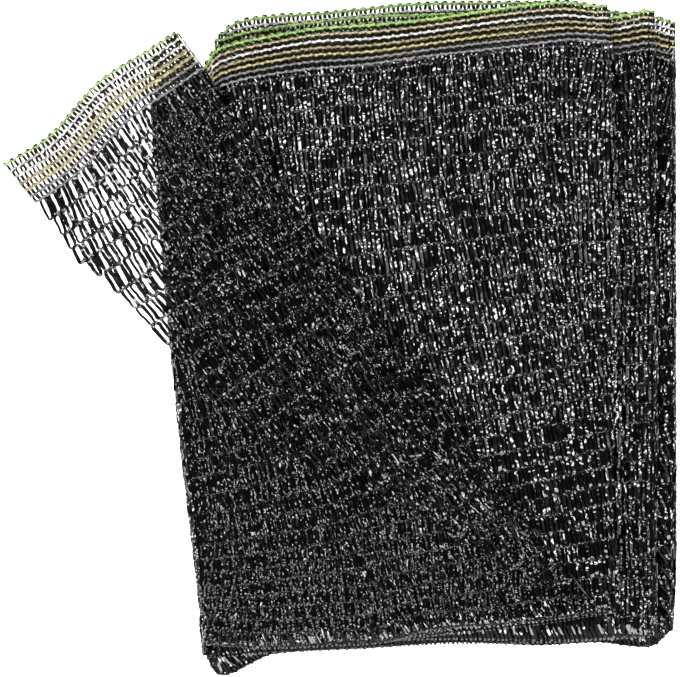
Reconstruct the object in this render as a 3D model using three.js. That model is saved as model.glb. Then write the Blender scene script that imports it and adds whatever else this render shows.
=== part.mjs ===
// A knitted shade cloth, doubled along its bottom edge and folded back and forth into a flat pile.
// Its loose end is turned over on a slant and pulled out to the left as a single see-through flap.
// X runs to the right, Y up towards the selvage, Z up from the surface that the pile lies on.
import * as THREE from 'three';

// Driving sizes in millimetres
const SHEET = 1.0;
const LAYER_GAP = 0.6;
const LAYER_STEP = SHEET + LAYER_GAP;
const DOUBLED_TURN = LAYER_STEP;
const SINGLE_TURN = LAYER_STEP / 2;
const DOUBLED_REACH = DOUBLED_TURN + SINGLE_TURN + SHEET / 2;
const SINGLE_REACH = SINGLE_TURN + SHEET / 2;
const PILE_PASSES = 7;
const FLAP_LEVEL = 2 * PILE_PASSES;
const FLAP_HEIGHT = SHEET / 2 + FLAP_LEVEL * LAYER_STEP;
const DROOP_RUN = 84;

// Steps of the solid
const TURN_STEPS = 4;
const FLAP_STEPS = 24;
const FLAP_WALES = 12;
const FLAP_WALE_SHARE = 0.0316;
const BAR_PART = 0.25;
const WALES_PER_ROW = 3;
const SELVAGE_SHARE = 0.06;
const LOWER_ROWS = [0.56, 0.68, 0.8, 0.9, 0.96, 1];
const SLOT_CLEARANCE = 4;

// The slanted fold runs down to the right, and its layers turn back across it in this direction
const SLANT_ANGLE = THREE.MathUtils.degToRad(36);
const ACROSS_SLANT = { x: Math.cos(SLANT_ANGLE), y: Math.sin(SLANT_ANGLE) };

// Where each fold or cut end lies, seen from above, from the selvage (share 0) to the bottom (share 1)
const EDGES = {
  looseEnd: [
    { share: 0, x: -51, y: 130 },
    { share: 0.5, x: -54, y: 3 },
    { share: 1, x: -57, y: -137 },
  ],
  rearLeft: [
    { share: 0, x: -53, y: 131.5 },
    { share: 0.5, x: -56, y: 2 },
    { share: 1, x: -60.5, y: -137.5 },
  ],
  rearRight: [
    { share: 0, x: 145, y: 136.5 },
    { share: 0.5, x: 145.2, y: 4 },
    { share: 0.9, x: 145.2, y: -103 },
    { share: 1, x: 144, y: -127.5 },
  ],
  middleLeft: [
    { share: 0, x: -54.5, y: 128.5 },
    { share: 0.5, x: -57, y: 1 },
    { share: 1, x: -58, y: -133 },
  ],
  middleRight: [
    { share: 0, x: 135.7, y: 141 },
    { share: 0.5, x: 137, y: 5 },
    { share: 1, x: 136.5, y: -129 },
  ],
  frontLeft: [
    { share: 0, x: -83.5, y: 119 },
    { share: 0.25, x: -78.3, y: 50.5 },
    { share: 0.5, x: -71, y: -28.5 },
    { share: 0.75, x: -64, y: -90 },
    { share: 1, x: -59, y: -131.5 },
  ],
  frontRight: [
    { share: 0, x: 115, y: 143 },
    { share: 0.1, x: 118, y: 117 },
    { share: 0.5, x: 120.5, y: 8 },
    { share: 1, x: 121, y: -118 },
  ],
  slant: [
    { share: 0, x: -69, y: 131.5 },
    { share: 0.25, x: -24.5, y: 67.5 },
    { share: 0.5, x: 20.5, y: 4 },
    { share: 0.75, x: 67, y: -60.5 },
    { share: 1, x: 111.5, y: -117.5 },
  ],
  cutEnd: [
    { share: 0, x: -145.3, y: 75 },
    { share: 0.1, x: -124, y: 49.5 },
    { share: 0.18, x: -113, y: 34 },
    { share: 0.25, x: -95.5, y: 19 },
    { share: 0.5, x: -37, y: -41.5 },
    { share: 0.75, x: 40, y: -81.5 },
    { share: 1, x: 104, y: -117 },
  ],
};

// How far a pass bows up at its selvage (top) and at its bottom edge, from the straight line between
// its two ends, a share of the way from left to right
const BOWS = {
  rear: [
    { share: 0, top: 0, bottom: 0 },
    { share: 0.04, top: 5.2, bottom: -7.7 },
    { share: 0.08, top: 6.6, bottom: -4.6 },
    { share: 0.14, top: 7.8, bottom: 0 },
    { share: 0.34, top: 9.5, bottom: 0.3 },
    { share: 0.54, top: 10.4, bottom: 0.8 },
    { share: 0.72, top: 9.6, bottom: -2.2 },
    { share: 0.85, top: 6.4, bottom: -2.4 },
    { share: 0.93, top: 3.8, bottom: -5 },
    { share: 0.97, top: 2, bottom: -5 },
    { share: 1, top: 0, bottom: 0 },
  ],
  middle: [
    { share: 0, top: 0, bottom: 0 },
    { share: 0.07, top: 3.4, bottom: 0.2 },
    { share: 0.2, top: 5.5, bottom: 0.6 },
    { share: 0.5, top: 4.6, bottom: 0.9 },
    { share: 0.78, top: 3.2, bottom: -0.6 },
    { share: 0.9, top: -1.2, bottom: -0.4 },
    { share: 1, top: 0, bottom: 0 },
  ],
  inner: [
    { share: 0, top: 0, bottom: 0 },
    { share: 0.2, top: 3.4, bottom: -2 },
    { share: 0.5, top: 2.4, bottom: -3.5 },
    { share: 0.8, top: 1.6, bottom: -2.6 },
    { share: 1, top: 0, bottom: 0 },
  ],
  front: [
    { share: 0, top: 0, bottom: 0 },
    { share: 0.05, top: -4, bottom: -1 },
    { share: 0.1, top: -3, bottom: -1.8 },
    { share: 0.15, top: 2, bottom: -2.6 },
    { share: 0.21, top: 4.7, bottom: -3 },
    { share: 0.34, top: 6.8, bottom: -3.6 },
    { share: 0.48, top: 5.6, bottom: -3.8 },
    { share: 0.63, top: 4.3, bottom: -1.4 },
    { share: 0.9, top: 4.3, bottom: -0.4 },
    { share: 1, top: 0, bottom: 0 },
  ],
  turned: [
    { share: 0, top: 0, bottom: 0 },
    { share: 0.13, top: 0, bottom: -3.6 },
    { share: 0.3, top: 0, bottom: -5 },
    { share: 0.46, top: 0, bottom: -5.2 },
    { share: 0.57, top: 0, bottom: -1.4 },
    { share: 0.75, top: 0, bottom: -1.6 },
    { share: 1, top: 0, bottom: 0 },
  ],
};

// How far the flap's selvage waves out from the straight line between its ends, from the slanted fold on
const FLAP_WAVE = [
  { share: 0, rise: 0 },
  { share: 0.17, rise: 1.4 },
  { share: 0.3, rise: 3.2 },
  { share: 0.43, rise: 3.6 },
  { share: 0.57, rise: 1.2 },
  { share: 0.76, rise: -1.5 },
  { share: 1, rise: 0 },
];

// One row for each pass of the doubled cloth, from the surface up; odd passes run to the right
const PASSES = [
  { left: 'looseEnd', right: 'rearRight', bows: 'rear' },
  { left: 'rearLeft', right: 'rearRight', bows: 'rear' },
  { left: 'rearLeft', right: 'middleRight', bows: 'middle' },
  { left: 'middleLeft', right: 'middleRight', bows: 'middle' },
  { left: 'middleLeft', right: 'frontRight', bows: 'inner' },
  { left: 'frontLeft', right: 'frontRight', bows: 'front' },
  { left: 'frontLeft', right: 'slant', bows: 'turned' },
];

// Soft ridges and troughs in the top of the pile, each along a line seen from above
const CREASES = [
  { x1: -20, y1: -58, x2: 100, y2: -112, width: 24, lift: -0.9 },
  { x1: -52, y1: 100, x2: 60, y2: -50, width: 26, lift: 0.9 },
  { x1: 20, y1: 96, x2: 112, y2: 88, width: 24, lift: 0.7 },
  { x1: 62, y1: -20, x2: 120, y2: -8, width: 26, lift: 0.8 },
  { x1: -56, y1: -104, x2: 20, y2: -92, width: 24, lift: -0.6 },
];

// Smooth value of one column of a table at a share
function along(rows, column, share) {
  let last = 1;
  while (last < rows.length - 1 && share > rows[last].share) {
    last += 1;
  }
  const slope = (index) => {
    const before = rows[Math.max(index - 1, 0)];
    const after = rows[Math.min(index + 1, rows.length - 1)];
    return (after[column] - before[column]) / (after.share - before.share);
  };
  const from = rows[last - 1];
  const to = rows[last];
  const run = to.share - from.share;
  const t = THREE.MathUtils.clamp((share - from.share) / run, 0, 1);
  const fromPart = (1 + 2 * t) * (1 - t) ** 2 * from[column] + t * (1 - t) ** 2 * run * slope(last - 1);
  const toPart = t * t * (3 - 2 * t) * to[column] + t * t * (t - 1) * run * slope(last);
  return fromPart + toPart;
}

function edgePoint(name, share) {
  return { x: along(EDGES[name], 'x', share), y: along(EDGES[name], 'y', share) };
}

// The line that a turn of the cloth bends round lies inside the edge that shows
function foldPoint(name, share) {
  const { x, y } = edgePoint(name, share);
  if (name === 'looseEnd') {
    return { x, y };
  }
  if (name === 'slant') {
    return { x: x - ACROSS_SLANT.x * SINGLE_REACH, y: y - ACROSS_SLANT.y * SINGLE_REACH };
  }
  const inward = name.endsWith('Left') ? DOUBLED_REACH : -DOUBLED_REACH;
  return { x: x + inward, y };
}

// A point of a pass seen from above, a share of the way across it and down it
function passPoint(pass, across, down) {
  const left = foldPoint(pass.left, down);
  const right = foldPoint(pass.right, down);
  const topRise = along(BOWS[pass.bows], 'top', across) * (1 - down) ** 2;
  const bottomRise = along(BOWS[pass.bows], 'bottom', across) * down ** 2;
  const bottomTurn = SINGLE_REACH * down;
  return {
    x: THREE.MathUtils.lerp(left.x, right.x, across),
    y: THREE.MathUtils.lerp(left.y, right.y, across) + topRise + bottomRise + bottomTurn,
  };
}

function flapPoint(across, down) {
  const fold = foldPoint('slant', down);
  const end = edgePoint('cutEnd', down);
  const wave = along(FLAP_WAVE, 'rise', across) * (1 - down) ** 3;
  const bottomTurn = SINGLE_REACH * down;
  return {
    x: THREE.MathUtils.lerp(fold.x, end.x, across) - ACROSS_SLANT.y * wave,
    y: THREE.MathUtils.lerp(fold.y, end.y, across) + ACROSS_SLANT.x * wave + bottomTurn,
  };
}

// The middle of a pass lies half way between the levels of its two sheets
function passMiddle(number) {
  const lowerLevel = 2 * (number - 1);
  return SHEET / 2 + (lowerLevel + 0.5) * LAYER_STEP;
}

// What overhangs the rear layers on the left sags down to the surface
function droop(x, y) {
  const top = EDGES.rearLeft[0].y;
  const bottom = EDGES.rearLeft[EDGES.rearLeft.length - 1].y;
  const down = THREE.MathUtils.clamp((top - y) / (top - bottom), 0, 1);
  const overhang = edgePoint('rearLeft', down).x - x;
  return (FLAP_HEIGHT - SHEET / 2) * THREE.MathUtils.smoothstep(overhang, 0, DROOP_RUN);
}

function creaseLift(x, y) {
  let lift = 0;
  for (const crease of CREASES) {
    const runX = crease.x2 - crease.x1;
    const runY = crease.y2 - crease.y1;
    const length = Math.hypot(runX, runY);
    const t = ((x - crease.x1) * runX + (y - crease.y1) * runY) / length ** 2;
    const nearest = THREE.MathUtils.clamp(t, 0, 1);
    const away = Math.hypot(x - crease.x1 - nearest * runX, y - crease.y1 - nearest * runY);
    lift += crease.lift * Math.exp(-((away / crease.width) ** 2));
  }
  return lift;
}

// Lets a point of the level pile sag and crease
function settle(x, y, z) {
  const sag = droop(x, y);
  const share = Math.max(z - SHEET / 2, 0) / FLAP_HEIGHT;
  const held = 1 - sag / (FLAP_HEIGHT - SHEET / 2);
  return new THREE.Vector3(x, y, z - sag + creaseLift(x, y) * share * held);
}

// Rows down the cloth: the selvage, then a row every few wales, then the lower rows
function passRows() {
  const rows = [0];
  for (let wale = 0; wale <= FLAP_WALES; wale += WALES_PER_ROW) {
    rows.push(SELVAGE_SHARE + wale * FLAP_WALE_SHARE);
  }
  return rows.concat(LOWER_ROWS);
}

// The flap has a row for each bar and each gap of its open wales
function flapRows() {
  const rows = [0, SELVAGE_SHARE];
  for (let wale = 0; wale < FLAP_WALES; wale += 1) {
    const start = SELVAGE_SHARE + wale * FLAP_WALE_SHARE;
    rows.push(start + BAR_PART * FLAP_WALE_SHARE);
    rows.push(start + FLAP_WALE_SHARE);
  }
  return rows.concat(LOWER_ROWS);
}

// Stations across the doubled cloth: first sheet, bottom turn, second sheet back up
function sectionStations() {
  const rows = passRows();
  const first = rows.map((down) => ({ down, turn: 0 }));
  const turn = [];
  for (let step = 1; step < TURN_STEPS; step += 1) {
    turn.push({ down: 1, turn: (Math.PI * step) / TURN_STEPS });
  }
  const second = rows.map((down) => ({ down, turn: Math.PI })).reverse();
  return first.concat(turn, second);
}

// A line across the doubled cloth: its middle at each share down, and the way its first sheet faces
function crossLine(stations, middleAt, facing) {
  return stations.map(({ down, turn }) => {
    const middle = middleAt(down);
    const offset = SINGLE_TURN * Math.cos(turn);
    const x = middle.x + offset * facing.x;
    const y = middle.y - SINGLE_TURN * Math.sin(turn);
    return settle(x, y, middle.z + offset * facing.z);
  });
}

function pileLines(stations) {
  const lines = [];
  PASSES.forEach((pass, index) => {
    const number = index + 1;
    const rightward = number % 2 === 1;
    const facing = { x: 0, z: rightward ? -1 : 1 };
    const shares = BOWS[pass.bows].map(({ share }) => share);
    const columns = rightward ? shares : shares.reverse();
    const level = passMiddle(number);
    for (const across of columns) {
      lines.push(crossLine(stations, (down) => ({ ...passPoint(pass, across, down), z: level }), facing));
    }
    if (number === PILE_PASSES) {
      return;
    }
    const side = rightward ? 1 : -1;
    for (let step = 1; step < TURN_STEPS; step += 1) {
      const angle = (Math.PI * step) / TURN_STEPS;
      const out = { x: side * Math.sin(angle), z: -Math.cos(angle) };
      const axisLevel = level + DOUBLED_TURN;
      const middleAt = (down) => {
        const fold = passPoint(pass, rightward ? 1 : 0, down);
        return { x: fold.x + DOUBLED_TURN * out.x, y: fold.y, z: axisLevel + DOUBLED_TURN * out.z };
      };
      lines.push(crossLine(stations, middleAt, { x: side * out.x, z: side * out.z }));
    }
  });
  return lines;
}

// The second sheet of the last pass turns over the slanted fold
function slantLine(rows, angle) {
  const level = FLAP_HEIGHT - SINGLE_TURN;
  return rows.map((down) => {
    const fold = passPoint(PASSES[PILE_PASSES - 1], 1, down);
    const out = SINGLE_TURN * Math.sin(angle);
    const x = fold.x + out * ACROSS_SLANT.x;
    const y = fold.y + out * ACROSS_SLANT.y;
    return settle(x, y, level - SINGLE_TURN * Math.cos(angle));
  });
}

function flapLine(rows, across) {
  return rows.map((down) => {
    const { x, y } = flapPoint(across, down);
    return settle(x, y, FLAP_HEIGHT);
  });
}

// Collects the middle surface of the cloth as faces on shared points
class MiddleSurface {
  constructor() {
    this.points = [];
    this.faces = [];
    this.known = new Map();
  }

  index(point) {
    const key = point.toArray().map((value) => value.toFixed(4)).join(' ');
    if (!this.known.has(key)) {
      this.known.set(key, this.points.length);
      this.points.push(point);
    }
    return this.known.get(key);
  }

  addFace(corners) {
    const ids = corners.map((corner) => this.index(corner));
    for (let corner = 2; corner < ids.length; corner += 1) {
      const face = [ids[0], ids[corner - 1], ids[corner]];
      if (new Set(face).size === 3) {
        this.faces.push(face);
      }
    }
  }

  addStrip(from, to, keep = () => true) {
    for (let row = 0; row < from.length - 1; row += 1) {
      if (keep(row)) {
        this.addFace([from[row], to[row], to[row + 1], from[row + 1]]);
      }
    }
  }

  normals() {
    const normals = this.points.map(() => new THREE.Vector3());
    for (const [a, b, c] of this.faces) {
      const sideB = this.points[b].clone().sub(this.points[a]);
      const sideC = this.points[c].clone().sub(this.points[a]);
      const normal = sideB.cross(sideC);
      [a, b, c].forEach((corner) => normals[corner].add(normal));
    }
    return normals.map((normal) => normal.normalize());
  }
}

// Joins the coarse rows of the pile to the finer rows of the flap
function addStitch(surface, coarse, coarseRows, fine, fineRows) {
  for (let row = 0; row < coarse.length - 1; row += 1) {
    const start = fineRows.indexOf(coarseRows[row]);
    const end = fineRows.indexOf(coarseRows[row + 1]);
    surface.addFace([coarse[row], ...fine.slice(start, end + 1), coarse[row + 1]]);
  }
}

// A gap of the open flap: every second step of a wale, staggered from wale to wale, off the pile
function isGap(step, down, corners) {
  const wales = (down - SELVAGE_SHARE) / FLAP_WALE_SHARE;
  const wale = Math.floor(wales);
  if (wale < 0 || wale >= FLAP_WALES || wales - wale < BAR_PART || (step + wale) % 2 === 1) {
    return false;
  }
  const { frontLeft } = EDGES;
  const top = frontLeft[0];
  const bottom = frontLeft[frontLeft.length - 1];
  return corners.every(({ x, y }) => {
    const beside = THREE.MathUtils.clamp((top.y - y) / (top.y - bottom.y), 0, 1);
    return x < edgePoint('frontLeft', beside).x - SLOT_CLEARANCE;
  });
}

function addFlap(surface, lastPileLine) {
  const coarseRows = passRows().reverse();
  const fineRows = flapRows().reverse();
  let turned = lastPileLine;
  for (let step = 1; step < TURN_STEPS; step += 1) {
    const next = slantLine(coarseRows, (Math.PI * step) / TURN_STEPS);
    surface.addStrip(turned, next);
    turned = next;
  }
  let from = slantLine(fineRows, Math.PI);
  addStitch(surface, turned, coarseRows, from, fineRows);
  for (let step = 1; step <= FLAP_STEPS; step += 1) {
    const start = from;
    const to = flapLine(fineRows, step / FLAP_STEPS);
    const keep = (row) => {
      const down = (fineRows[row] + fineRows[row + 1]) / 2;
      return !isGap(step, down, [start[row], to[row], to[row + 1], start[row + 1]]);
    };
    surface.addStrip(from, to, keep);
    from = to;
  }
}

// Gives the middle surface its thickness and closes its edges and gaps
function thicken(surface) {
  const normals = surface.normals();
  const count = surface.points.length;
  const positions = [];
  for (const side of [SHEET / 2, -SHEET / 2]) {
    surface.points.forEach((point, index) => {
      positions.push(...point.clone().addScaledVector(normals[index], side).toArray());
    });
  }
  const triangles = [];
  const rims = new Map();
  for (const face of surface.faces) {
    const [a, b, c] = face;
    triangles.push(a, b, c, a + count, c + count, b + count);
    face.forEach((start, corner) => {
      const end = face[(corner + 1) % 3];
      if (!rims.delete(`${end} ${start}`)) {
        rims.set(`${start} ${end}`, [start, end]);
      }
    });
  }
  for (const [start, end] of rims.values()) {
    triangles.push(start, start + count, end + count, start, end + count, end);
  }
  const geometry = new THREE.BufferGeometry();
  geometry.setAttribute('position', new THREE.Float32BufferAttribute(positions, 3));
  geometry.setIndex(triangles);
  geometry.computeVertexNormals();
  return geometry;
}

function clothGeometry() {
  const stations = sectionStations();
  const lines = pileLines(stations);
  const surface = new MiddleSurface();
  for (let line = 1; line < lines.length; line += 1) {
    surface.addStrip(lines[line - 1], lines[line]);
  }
  const rowCount = passRows().length;
  const secondSheet = lines[lines.length - 1].slice(-rowCount);
  addFlap(surface, secondSheet);
  return thicken(surface);
}

const blackNet = new THREE.MeshStandardMaterial({ color: 0x101011, roughness: 0.35, metalness: 0 });

const cloth = new THREE.Mesh(clothGeometry(), blackNet);
cloth.name = 'shade_cloth';

const shadeCloth = new THREE.Group();
shadeCloth.add(cloth);

export default shadeCloth;
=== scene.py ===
"""Looks of the folded shade cloth: an open net of knitted black tape with a selvage of coloured chains."""
import math
from collections import namedtuple

import bpy
import numpy as np
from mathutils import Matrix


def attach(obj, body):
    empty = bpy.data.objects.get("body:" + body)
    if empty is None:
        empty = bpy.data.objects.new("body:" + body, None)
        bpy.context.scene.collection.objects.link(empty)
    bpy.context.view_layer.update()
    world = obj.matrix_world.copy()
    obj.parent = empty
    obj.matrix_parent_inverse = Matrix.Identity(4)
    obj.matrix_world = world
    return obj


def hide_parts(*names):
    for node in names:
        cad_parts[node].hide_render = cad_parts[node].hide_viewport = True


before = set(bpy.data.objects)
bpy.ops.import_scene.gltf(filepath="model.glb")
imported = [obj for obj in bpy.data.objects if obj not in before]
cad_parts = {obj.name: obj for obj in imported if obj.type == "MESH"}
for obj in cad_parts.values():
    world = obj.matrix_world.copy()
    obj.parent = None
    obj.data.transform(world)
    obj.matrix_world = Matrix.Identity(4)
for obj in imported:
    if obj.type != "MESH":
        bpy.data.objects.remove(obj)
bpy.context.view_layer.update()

# Sizes of the folded cloth in millimetres, as in its solid
MM = 0.001
SHEET = 1.0
LAYER_STEP = 1.6
DOUBLED_TURN = LAYER_STEP
SINGLE_TURN = LAYER_STEP / 2
DOUBLED_REACH = DOUBLED_TURN + SINGLE_TURN + SHEET / 2
SINGLE_REACH = SINGLE_TURN + SHEET / 2
PILE_PASSES = 7
FLAP_LEVEL = 2 * PILE_PASSES
FLAP_HEIGHT = SHEET / 2 + FLAP_LEVEL * LAYER_STEP
FLAP_WAVE_FADE = 7
DROOP_RUN = 84.0
BOTTOM_RUN = 11.0
BOTTOM_SINK = 3.0
FULL_SINK_HEIGHT = 7.0
SLANT_ANGLE = math.radians(36)
ACROSS_SLANT = (math.cos(SLANT_ANGLE), math.sin(SLANT_ANGLE))

# Passes that show, counted from the surface up, and the lowest one, which the rear pass covers
COVERED_PASS, REAR_PASS, MIDDLE_PASS, FRONT_PASS, TURNED_PASS = 1, 2, 4, 6, 7

# Knit of the net, in shares of a pass, millimetres and degrees
SELVAGE_SHARE = 0.06
SELVAGE_CHAINS = 7
SELVAGE_DOWNS = SELVAGE_SHARE * np.arange(SELVAGE_CHAINS) / (SELVAGE_CHAINS - 1)
BODY_ROWS = 30
BODY_DOWNS = SELVAGE_SHARE + (1 - SELVAGE_SHARE) * np.arange(BODY_ROWS + 1) / BODY_ROWS
STROKE_PITCH = 1.9
FLAP_PITCH = 2.27
TURNED_PITCH = 1.5
BAR_PITCH = 1.95
LOOP_REACH = 0.25
LOOP_SPREAD = 0.24
SHORTEST_ROW = 0.5
BOW_SHARE = 0.6
WAVINESS = 0.07
DRIFT_SHARE = 0.35
STEEPEST_ROLL = 42
TAPER_LIMITS = (0.35, 1.5)
WIDTH_SPREAD = 0.1
WIDTH_LIMITS = (0.6, 1.3)
CUP = 0.025
CRINKLE = 0.0004

# The flap's loops lean most at its selvage, not at all this share down it, and a little back below that
LEAN_RUN = 0.22
LEAST_LEAN = -0.35

# Lowest heights of a point, of a tape's middle and of a chain's middle
LOWEST = 0.03
LOWEST_TAPE = 0.25
LOWEST_CHAIN = 0.3

# Shares along a line that is measured, the way up, and the least length of a way
GRID = np.linspace(0, 1, 121)
UP = (0.0, 0.0, 1.0)
TINY = 1e-9

# Where each fold or cut end lies, seen from above: share from selvage to bottom, x, y
EDGES = {
    "loose_end": [(0, -51, 130), (0.5, -54, 3), (1, -57, -137)],
    "rear_left": [(0, -53, 131.5), (0.5, -56, 2), (0.95, -60.9, -124), (1, -59.8, -138)],
    "rear_right": [(0, 145, 136.5), (0.5, 145.2, 4), (0.9, 145.2, -103), (1, 144, -127.5)],
    "middle_left": [(0, -54.5, 128.5), (0.5, -57, 1), (1, -58, -133)],
    "middle_right": [(0, 135.7, 141), (0.5, 137, 5), (1, 136.5, -129)],
    "front_left": [(0, -83.5, 119), (0.25, -78.3, 50.5), (0.5, -71, -28.5), (0.75, -64, -90),
                   (1, -59, -131.5)],
    "front_right": [(0, 115, 143), (0.1, 118, 117), (0.5, 120.5, 8), (1, 121, -118)],
    "slant": [(0, -69, 131.5), (0.25, -24.5, 67.5), (0.5, 20.5, 4), (0.75, 67, -60.5), (1, 111.5, -117.5)],
    "cut_end": [(0, -145.3, 75), (0.1, -124, 49.5), (0.18, -113, 34), (0.25, -95.5, 19), (0.5, -37, -41.5),
                (0.75, 40, -81.5), (1, 104, -117)],
}

# How far a pass bows up at its selvage and at its bottom edge: share from left to right, top, bottom
BOWS = {
    "rear": [(0, 0, 0), (0.012, 2.6, -5.8), (0.03, 4.5, -8.0), (0.055, 5.8, -7.0), (0.08, 6.6, -4.6),
             (0.14, 7.8, 0), (0.34, 9.5, 0.3), (0.54, 10.4, 0.8), (0.72, 9.6, -2.2), (0.85, 6.4, -2.4),
             (0.93, 3.8, -5), (0.97, 2, -5), (1, 0, 0)],
    "middle": [(0, 0, 0), (0.07, 3.4, 0.2), (0.2, 5.5, 0.6), (0.5, 4.6, 0.9), (0.78, 3.2, -0.6),
               (0.9, -1.2, -0.4), (1, 0, 0)],
    "inner": [(0, 0, 0), (0.2, 3.4, -2), (0.5, 2.4, -3.5), (0.8, 1.6, -2.6), (1, 0, 0)],
    "front": [(0, 0, 0), (0.05, -5.4, -1), (0.116, -5.4, -1.9), (0.136, 1, -2.3), (0.16, 3.2, -2.7),
              (0.21, 4.8, -3), (0.34, 5.6, -3.6), (0.48, 3.7, -3.8), (0.63, 3.5, -1.4), (0.9, 4.3, -0.4),
              (1, 0, 0)],
    "turned": [(0, 0, 0), (0.13, 0, -3.6), (0.3, 0, -5), (0.46, 0, -5.2), (0.57, 0, -1.4), (0.75, 0, -1.6),
               (1, 0, 0)],
}

# How far the flap's selvage waves out: share from the slanted fold to the cut end, rise
FLAP_WAVE = [(0, 0), (0.17, 1.4), (0.3, 3.2), (0.43, 3.6), (0.57, 1.2), (0.76, -1.5), (1, 0)]

# The passes of the doubled cloth from the surface up: left end, right end, bows
PASSES = [
    ("loose_end", "rear_right", "rear"),
    ("rear_left", "rear_right", "rear"),
    ("rear_left", "middle_right", "middle"),
    ("middle_left", "middle_right", "middle"),
    ("middle_left", "front_right", "inner"),
    ("front_left", "front_right", "front"),
    ("front_left", "slant", "turned"),
]

# Levels of the two sheets of each pass, by its number, counted from the surface
FIRST_SHEET = dict(enumerate([0, 3, 4, 7, 8, 11, 12], 1))
SECOND_SHEET = dict(enumerate([1, 2, 5, 6, 9, 10, 13], 1))

# Soft ridges and troughs, each along a line: x1, y1, x2, y2, width, lift
CREASES = [
    (-20, -58, 100, -112, 24, -0.9),
    (-52, 100, 60, -50, 26, 0.9),
    (20, 96, 112, 88, 24, 0.7),
    (62, -20, 120, -8, 26, 0.8),
    (-56, -104, 20, -92, 24, -0.6),
    (-10, 62, 70, 58, 9, 0.5),
    (40, 24, 112, 30, 10, -0.5),
    (30, -30, 100, -48, 9, 0.5),
    (-60, -40, 0, -24, 9, 0.4),
    (-50, -70, 10, -66, 8, -0.4),
    (-62, 84, -10, 10, 7, 0.5),
]


def both_halves(*half):
    """Points of a tape stroke from its first half: the other one is the same, turned round."""
    turned = [(1 - share, -reach, -turn, width) for share, reach, turn, width in half[::-1] if share < 0.5]
    return [*half, *turned]


# Points of one tape stroke from turn to turn: share down the row, reach past it, turn, width
FINE_STROKE = both_halves(
    (0, -1, -1, 0.75), (0.012, -0.6, -0.62, 0.78), (0.035, 0, -0.29, 0.84), (0.11, 0, 0, 0.95),
    (0.24, 0, 0, 1), (0.37, 0, 0, 1), (0.5, 0, 0, 1),
)
LOOP_STROKE = both_halves(
    (0, -0.6, -1, 0.95), (0.02, -0.5, -0.52, 0.95), (0.075, -0.3, -0.15, 0.97), (0.16, 0, 0, 1),
    (0.28, 0, 0, 1), (0.42, 0, 0, 1),
)
PLAIN_STROKE = both_halves((0, -1, -1, 0.7), (0.12, 0, 0, 1), (0.5, 0, 0, 1))
BAR_STROKE = both_halves((0, 0, -0.4, 0.9), (0.3, 0, 0, 1))
EDGE_STROKE = both_halves((0, -4, -1, 0.95), (0.06, -2.6, -0.5, 0.95), (0.2, 0, -0.13, 1), (0.5, 0, 0, 1))

# A stroke along a fold: share down the row, width
BEND_STEPS = 8
BEND_TAPER = 0.3
BEND_STROKE = [(step / BEND_STEPS, 1 - BEND_TAPER * abs(2 * step / BEND_STEPS - 1) ** 3)
               for step in range(BEND_STEPS + 1)]

# A stroke round the bottom turn: share of the half circle, run up the sheet past it, width; and its bend
WRAP_STROKE = [
    (0, 5.4, 0.7), (0, 4.4, 0.9), (0, 3, 1), (0, 1.6, 1), (0, 0.4, 1), (0.3, 0, 0.95),
    (0.7, 0, 0.95), (1, 0.4, 1), (1, 1.6, 1), (1, 3, 1), (1, 4.4, 0.9), (1, 5.4, 0.7),
]
WRAP_BEND = slice(4, 7)

# Points across a tape, and the forms of the strokes in a net
FINE_SECTION = (-1, -0.36, 0.36, 1)
PLAIN_SECTION = (-1, 0, 1)
FINE = (FINE_STROKE, FINE_SECTION)
LOOPED = (LOOP_STROKE, FINE_SECTION)
PLAIN = (PLAIN_STROKE, PLAIN_SECTION)

# How the tape of each net lies, in millimetres, with roll, twist and crumple in degrees and taper as a share
Lay = namedtuple("Lay", "width rise roll twist crumple lean stray wobble taper")
TAPE_LAY = {
    "open_flap": Lay(1.58, 0.1, 2, 2, 3, 3, 0.22, 0.09, 0.22),
    "flap": Lay(0.95, 0.2, 14, 13, 9.5, 0, 0.36, 0.14, 0.1),
    "turned": Lay(0.78, 0.3, 12, 13, 10, 0, 0.45, 0.19, 0.1),
    "turned_under": Lay(0.8, 0.3, 9, 11, 20, 0, 0.5, 0.22, 0),
    "front": Lay(1.2, 0.35, 18, 16, 11, 0, 0.14, 0.06, 0.08),
    "strip": Lay(1.2, 0.35, 17, 18, 12, 0, 0.2, 0.08, 0.08),
    "fold": Lay(1.2, 0, 20, 22, 22, 0, 0, 0, 0),
    "wrap": Lay(0.9, 0, 8, 8, 5, 0, 0.22, 0.05, 0.12),
    "bar": Lay(1.2, 0.05, 3, 3, 4, 0, 0.15, 0.03, 0.12),
}

# Tube of a chain: samples for each stitch, sides, how far its stitches step from side to side
Tube = namedtuple("Tube", "samples sides zigzag")
FINE_TUBE = Tube(5, 5, 0.2)
PLAIN_TUBE = Tube(2, 3, 0.2)
BODY_TUBE = Tube(2, 3, 0.3)
EDGE_TUBE = Tube(3, 5, 0.2)
FOLD_TUBE = Tube(3, 5, 0.1)
CHAIN_WIDE = 1.22
CHAIN_THICK = 0.8
BEAD_WAIST = 0.55
BEAD_SPREAD = 0.1

# Coloured chains of the selvage from the edge inwards: name, red, green, blue
CHAIN_COLOURS = [
    ("edge_green", 0.155, 0.27, 0.06),
    ("khaki", 0.26, 0.22, 0.13),
    ("white", 0.38, 0.37, 0.36),
    ("tan", 0.20, 0.17, 0.09),
    ("straw", 0.26, 0.22, 0.095),
    ("grey", 0.115, 0.11, 0.12),
    ("pale_grey", 0.13, 0.125, 0.135),
]


def smooth(t):
    """Eases from 0 to 1, with no kink at either end."""
    t = np.clip(t, 0, 1)
    return t * t * (3 - 2 * t)


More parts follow.
